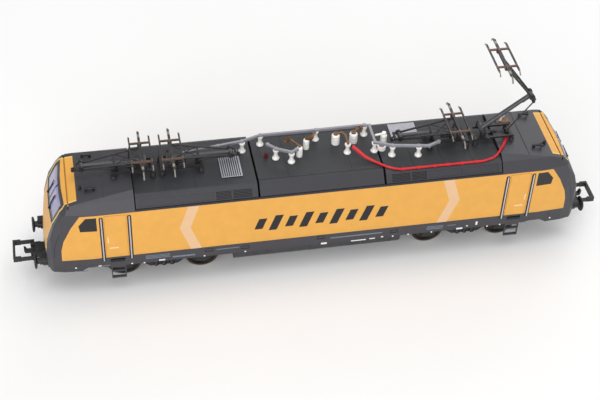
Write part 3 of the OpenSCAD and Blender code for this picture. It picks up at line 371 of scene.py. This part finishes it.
# The plain finishes, by the name of their material in the CAD model
PLAIN = {
    "cast_metal": dict(colour=rgb(98, 98, 102), rough=(0.4, 0.6), metallic=0.3, amount=0.15, scale=0.5,
                       bump_scale=5.0, bump_mm=0.02),
    "smoked_glazing": dict(colour=rgb(20, 18, 23), rough=(0.12, 0.22), amount=0.2, bump_scale=1.5,
                           bump_mm=0.004),
    "interior_plastic": dict(colour=rgb(96, 96, 100), rough=(0.5, 0.65)),
    "black_plastic": dict(colour=rgb(30, 30, 33), amount=0.2, scale=0.6, bump_mm=0.01),
    "bright_steel": dict(colour=rgb(182, 182, 188), rough=(0.25, 0.4), metallic=0.9, amount=0.08,
                         scale=0.8, bump_scale=4.0, bump_mm=0.005),
    "dark_plastic": dict(colour=rgb(56, 56, 60), rough=(0.45, 0.6), amount=0.15, scale=0.5,
                         bump_scale=5.0, bump_mm=0.015),
    "step_plastic": dict(colour=rgb(62, 62, 66), rough=(0.45, 0.6), amount=0.15, scale=0.6,
                         bump_mm=0.012),
    "silver_wire": dict(colour=rgb(196, 196, 204), rough=(0.25, 0.4), metallic=0.55, amount=0.08,
                        scale=1.0, bump_mm=0.006),
    "ceramic_white": dict(colour=rgb(238, 236, 232), rough=(0.18, 0.3), amount=0.05, scale=0.7,
                          bump_scale=3.0, bump_mm=0.006, coat=0.3),
    "conductor_grey": dict(colour=rgb(144, 143, 151), rough=(0.35, 0.5), metallic=0.25, amount=0.1,
                           scale=0.8, bump_mm=0.01),
    "copper": dict(colour=rgb(112, 78, 46), rough=(0.35, 0.5), metallic=0.2, amount=0.25, scale=0.9,
                   bump_mm=0.012),
    "cable_red": dict(colour=rgb(196, 10, 24), rough=(0.35, 0.5), scale=0.5, bump_scale=4.0,
                      bump_mm=0.006),
    "brass": dict(colour=rgb(204, 168, 92), rough=(0.25, 0.4), metallic=0.9, amount=0.1, scale=0.8,
                  bump_scale=5.0, bump_mm=0.006),
    "black_metal": dict(colour=rgb(48, 48, 50), rough=(0.4, 0.6), metallic=0.3, amount=0.15, scale=0.6,
                        bump_scale=5.0, bump_mm=0.012),
}
LOOKS = {name: simple(name, **values) for name, values in PLAIN.items()}
LOOKS.update({
    "body_paint": body_paint(),
    "roof_plastic": roof_plastic(),
    "clear_glazing": windscreen(),
    "lamp_lens": lamp_lens(),
    "circuit_board": circuit_board(),
    "grating_grey": grating_grey(),
    "pantograph_metal": pantograph_metal(),
    "wheel_metal": wheel_metal(),
})


def give_looks():
    """Each material of the CAD model gets its look, and some pantograph pieces one of their own."""
    for node in NODES.values():
        for held in node.material_slots:
            name = held.material.name.split(".")[0]
            if name in LOOKS:
                held.material = LOOKS[name]
    for special, look in (("lower_arm", arm_grey_and_sheen()), ("head", head_metal())):
        for i in range(1, 5):
            for held in NODES[f"pantograph_{i}_{special}"].material_slots:
                if held.material.name.startswith("pantograph_metal"):
                    held.material = look


give_looks()


# ---------------------------------------------------------------- the printed marks and small trim
def piece(name, verts, faces, look, slot):
    """A flat-shaded mesh in millimetres that rides on the body."""
    mesh = bpy.data.meshes.new(name)
    mesh.from_pydata([Vector(v) * MM for v in verts], [], faces)
    held = bmesh.new()
    held.from_mesh(mesh)
    bmesh.ops.recalc_face_normals(held, faces=held.faces)
    held.to_mesh(mesh)
    held.free()
    obj = bpy.data.objects.new(name, mesh)
    bpy.context.scene.collection.objects.link(obj)
    mesh.materials.append(look)
    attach(obj, "root")


def prism(outline, near, far):
    """An (X, Z) outline between two distances from the middle plane: corners and faces."""
    n = len(outline)
    verts = [(x, y, z) for y in (near, far) for x, z in outline]
    faces = [tuple(range(n)), tuple(range(2 * n - 1, n - 1, -1))]
    faces += [(i, n + i, n + (i + 1) % n, (i + 1) % n) for i in range(n)]
    return verts, faces


def merged(parts):
    """Several (corners, faces) pairs as one."""
    verts, faces = [], []
    for v, f in parts:
        faces += [tuple(i + len(verts) for i in face) for face in f]
        verts += v
    return verts, faces


def side_marks(name, outlines, look, slot="body_paint", face=SIDE, proud=0.025, deep=0.1):
    """Flat marks on both body sides, drawn for the near side and turned about the middle for the far one."""
    for side, turn in (("near", -1), ("far", 1)):
        parts = []
        for outline in outlines:
            turned = [(x * -turn, z) for x, z in outline]
            parts.append(prism(turned, turn * (face - deep), turn * (face + proud)))
        piece(f"{name}_{side}", *merged(parts), look, slot)


def plate(x, z, w, h, slant=0.0):
    """A rectangle about (x, z), its top moved by slant along X and its bottom against it."""
    return [(x - w / 2 - slant, z - h / 2), (x + w / 2 - slant, z - h / 2),
            (x + w / 2 + slant, z + h / 2), (x - w / 2 + slant, z + h / 2)]


def disc(x, z, r, sides=10):
    turns = [2 * math.pi * i / sides for i in range(sides)]
    return [(x + r * math.cos(t), z + r * math.sin(t)) for t in turns]


def chevrons():
    """An arrow-shaped stripe beside each cab, pointing outwards."""
    top, bottom = PANEL_TOP - 0.02, SILL_TOP + 0.05
    outline = [(46.5, top), (50.7, top), (54.0, 29.2), (50.0, bottom), (45.9, bottom), (49.9, 29.1)]
    print_look = simple("pale_print", PEACH, rough=(0.38, 0.5), amount=0.03, scale=0.3, bump_scale=5.0,
                        bump_mm=0.004)
    side_marks("chevrons", [[(s * x, z) for x, z in outline] for s in (-1, 1)], print_look)


def side_bars():
    """A generic row of slanted bars, alternately short and tall, where the sides are marked."""
    first, step, mid_z, width = -23.4, 5.85, 27.2, 3.1
    kinds = ((5.2, 0.9), (7.4, 1.3))  # height and slant
    bars = [plate(first + step * i, mid_z, width, *kinds[i % 2]) for i in range(9)]
    print_look = simple("dark_print", BLACK, rough=(0.4, 0.5), amount=0.08, bump_scale=5.0, bump_mm=0.004)
    side_marks("side_bars", bars, print_look)


def channel_and_slot_shade():
    """Painted shade: dark marks in the channels behind the upright handrails, and in the slot over each
    ladder.
    """
    rail = 5.15  # the rails stand this far to each side of the ladder's middle
    channels = [plate(s * (STEPS_X + d), 27.4, w=1.5, h=21.8) for s in (-1, 1) for d in (-rail, rail)]
    channel_shade_look = simple("painted_channel_shade", rgb(24, 22, 24), rough=(0.5, 0.6), amount=0.15, scale=0.5)
    side_marks("rail_channel_shade", channels, channel_shade_look)
    slots = [plate(s * STEPS_X, 15.75, w=5.2, h=1.2) for s in (-1, 1)]
    slot_shade_look = simple("painted_slot_shade", rgb(14, 13, 15), rough=(0.5, 0.6), amount=0.15, scale=0.5)
    side_marks("step_slot_shade", slots, slot_shade_look, face=SILL)


def sill_marks():
    """Small pale dots and dashes along the sill, and fainter lines between them."""
    dots = [(-93.4, 14.1), (-72.4, 13.4), (-67.8, 13.1), (-44.9, 13.3), (-29.2, 13.3), (28.9, 13.0),
            (35.1, 13.1), (44.5, 13.0), (58.8, 14.3), (67.2, 12.9), (72.4, 13.1), (93.0, 13.8)]
    dashes = [plate(1.5, 13.1, 2.3, 0.9), plate(55.8, 13.3, 2.5, 0.8), plate(-61.1, 13.6, 2.3, 0.7),
              plate(15.2, 12.8, 6.0, 0.5), plate(20.7, 12.95, 2.2, 0.5), plate(24.6, 13.3, 0.9, 0.6),
              plate(62.6, 15.2, 0.8, 1.8), plate(-84.4, 13.9, 1.2, 0.5)]
    white_look = simple("white_print", WHITE, rough=(0.4, 0.5), amount=0.05, scale=0.6)
    side_marks("sill_marks", [disc(x, z, 0.36) for x, z in dots] + dashes, white_look, face=SILL)
    faint = [plate(-62.6, 15.1 + 0.7 * i, 9.2, 0.35) for i in (2, 1, 0)]
    faint += [plate(-52.8, 14.6, 8.6, 0.8), plate(-35.9, 16.0, 8.7, 0.4), plate(14.2, 15.6, 20.5, 0.6)]
    faint += [plate(45.6, 14.6 + 0.7 * i, 6.6, 0.35) for i in (2, 1, 0)]
    faint += [plate(-82.0, 13.7, 2.6, 0.45), plate(-90.0, 11.9, 2.2, 0.4), plate(52.4, 15.6, 3.4, 0.35)]
    faint_look = simple("faint_print", rgb(108, 118, 132), rough=(0.4, 0.5), amount=0.08, scale=0.8)
    side_marks("faint_marks", faint, faint_look, face=SILL)


def door_marks():
    """A dash and a short upright on each cab door."""
    marks = [plate(s * 78.6, 22.8, w=3.4, h=0.6) for s in (-1, 1)]
    marks += [plate(s * 80.6, 27.0, w=0.4, h=3.0) for s in (-1, 1)]
    look = simple("door_print", rgb(238, 206, 160), rough=(0.4, 0.5), amount=0.05, scale=0.6)
    side_marks("door_marks", marks, look)


def tread_edges():
    """A bright strip in each ladder tread, just inside its outer face."""
    heights = (13.5, 10.15, 6.65)
    edges = [plate(s * STEPS_X, z, w=5.3, h=0.35) for s in (-1, 1) for z in heights]
    side_marks("tread_edges", edges, LOOKS["silver_wire"], slot="silver_wire", face=SIDE - 0.2, proud=0.02,
               deep=0.3)


chevrons()
side_bars()
channel_and_slot_shade()
sill_marks()
door_marks()
tread_edges()


def ring(center, axis, inner, outer, length, sides=20):
    """A short sleeve round an axis: corners and faces."""
    axis = Vector(axis).normalized()
    a = axis.orthogonal().normalized()
    b = axis.cross(a)
    verts = []
    for along in (-length / 2, length / 2):
        for r in (inner, outer):
            for i in range(sides):
                t = 2 * math.pi * i / sides
                out = math.cos(t) * a + math.sin(t) * b
                verts.append(tuple(Vector(center) + axis * along + r * out))
    faces = []
    for i in range(sides):
        j = (i + 1) % sides
        for p, q in ((0, 1), (1, 3), (3, 2), (2, 0)):
            faces.append((p * sides + i, p * sides + j, q * sides + j, q * sides + i))
    return verts, faces


def cable_clips():
    """Clips that hold the red lead along the roof edge."""
    half = 0.45  # half the lead's thickness
    y, z = low("red_cable", Y) + half, low("red_cable", Z) + half
    places = (31, 37, 43.5, 48.5, 54, 59.5)
    clips = [ring((x, y, z), (1, 0, 0), inner=0.44, outer=0.62, length=0.9) for x in places]
    piece("cable_clips", *merged(clips), LOOKS["cable_red"], "cable_red")


def link_trim():
    """Coils and clamping rings of the brown links, on top of their posts."""
    post_top = high("copper_links", Z) - 0.5
    z = post_top + 0.25
    bore = 0.36
    coils = [ring((-2.6 + 0.5 * i, 3.55 + 0.12 * i, z), (1, 0.25, 0), bore, outer=0.85, length=0.3)
             for i in range(5)]
    coils += [ring((-10.5 + 0.5 * i, 3.45 + 0.55 * i, z), (0.66, 0.75, 0), bore, outer=0.8, length=0.3)
              for i in range(3)]
    clamps = [ring((x, y, post_top + 0.3), UP, inner=0.3, outer=0.95, length=0.62)
              for x, y in ((8.8, 4.8), (15.7, 4.6))]
    clamps.append(ring((19.0, 6.9, z), (1, 0.3, 0), bore, outer=0.85, length=0.9))
    piece("link_coils", *merged(coils), LOOKS["copper"], "copper")
    piece("link_clamps", *merged(clamps), LOOKS["copper"], "copper")


def cup_filling():
    """The filling of the cup beside the voltage divider."""
    cup = ring((25.6, -1.0, 46.05), UP, inner=0.35, outer=1.08, length=0.3)
    look = simple("cup_filling", rgb(134, 112, 112), amount=0.2, scale=1.5)
    piece("cup_filling", *cup, look, "ceramic_white")


def earth_contact():
    """The dark red contact at the end of the near bar, stepped in near its top."""
    x, y = -18.9, 0.4
    bore = 0.2
    contact = merged([ring((x, y, 45.6), UP, bore, outer=0.75, length=1.5),
                      ring((x, y, 46.7), UP, bore, outer=0.5, length=0.8)])
    look = simple("contact_red", rgb(92, 22, 28), amount=0.2, scale=1.5)
    piece("earth_contact", *contact, look, "copper")


cable_clips()
link_trim()
cup_filling()
earth_contact()


# ---------------------------------------------------------------- camera, floor and light
def make_camera():
    """A long lens from above, in front and a little to the left, turned by three angles in degrees."""
    place = (-87.628, -374.202, 377.644)
    yaw, pitch, roll = (math.radians(a) for a in (12.451, 42.923, 2.718))
    ahead = Vector((math.sin(yaw) * math.cos(pitch), math.cos(yaw) * math.cos(pitch), -math.sin(pitch)))
    right = Vector((math.cos(yaw), -math.sin(yaw), 0.0))
    up = right.cross(ahead)
    side = math.cos(roll) * right + math.sin(roll) * up
    top = math.cos(roll) * up - math.sin(roll) * right
    data = bpy.data.cameras.new("camera")
    data.sensor_width = 36.0
    data.lens = 80.36
    data.clip_start, data.clip_end = 0.01, 20.0
    cam = bpy.data.objects.new("camera", data)
    bpy.context.scene.collection.objects.link(cam)
    turn = Matrix((side, top, -ahead)).transposed()
    cam.matrix_world = Matrix.Translation(Vector(place) * MM) @ turn.to_4x4()
    bpy.context.scene.camera = cam


def make_floor():
    """A plain pale floor twelve metres across, just under the wheels."""
    mesh = bpy.data.meshes.new("floor")
    half = 6.0
    corners = [(-half, -half, 0), (half, -half, 0), (half, half, 0), (-half, half, 0)]
    mesh.from_pydata(corners, [], [(0, 1, 2, 3)])
    floor = bpy.data.objects.new("floor", mesh)
    bpy.context.scene.collection.objects.link(floor)
    floor.location.z = -0.2 * MM
    s = Look("floor", roughness=0.9, specular=0.1)
    s.finish(s.varied((0.86, 0.86, 0.86), 0.01, 0.02), bump_mm=0)
    mesh.materials.append(s.mat)


def area_light(name, place, target, size, power):
    """A white rectangular lamp at a place in metres, facing a target, with its power in watts."""
    data = bpy.data.lights.new(name, "AREA")
    data.shape = "RECTANGLE"
    data.size, data.size_y = size
    data.energy = power
    lamp = bpy.data.objects.new(name, data)
    bpy.context.scene.collection.objects.link(lamp)
    lamp.location = place
    lamp.rotation_euler = (Vector(target) - Vector(place)).to_track_quat("-Z", "Y").to_euler()


def make_light():
    area_light("top_light", (0.1, -0.1, 1.1), target=(0, 0, 0), size=(1.4, 1.0), power=7.6)
    area_light("front_light", (-0.5, -1.2, 0.6), target=(0, 0, 0.02), size=(1.2, 0.8), power=10.8)
    area_light("back_light", (0.5, 1.0, 0.6), target=(0, 0, 0.03), size=(1.0, 0.6), power=3.5)
    world = bpy.data.worlds.new("world")
    bpy.context.scene.world = world
    world.use_nodes = True
    sky = world.node_tree.nodes["Background"]
    sky.inputs["Color"].default_value = (1, 1, 1, 1)
    sky.inputs["Strength"].default_value = 0.46
    bpy.context.scene.view_settings.view_transform = "Standard"


make_camera()
make_floor()
make_light()
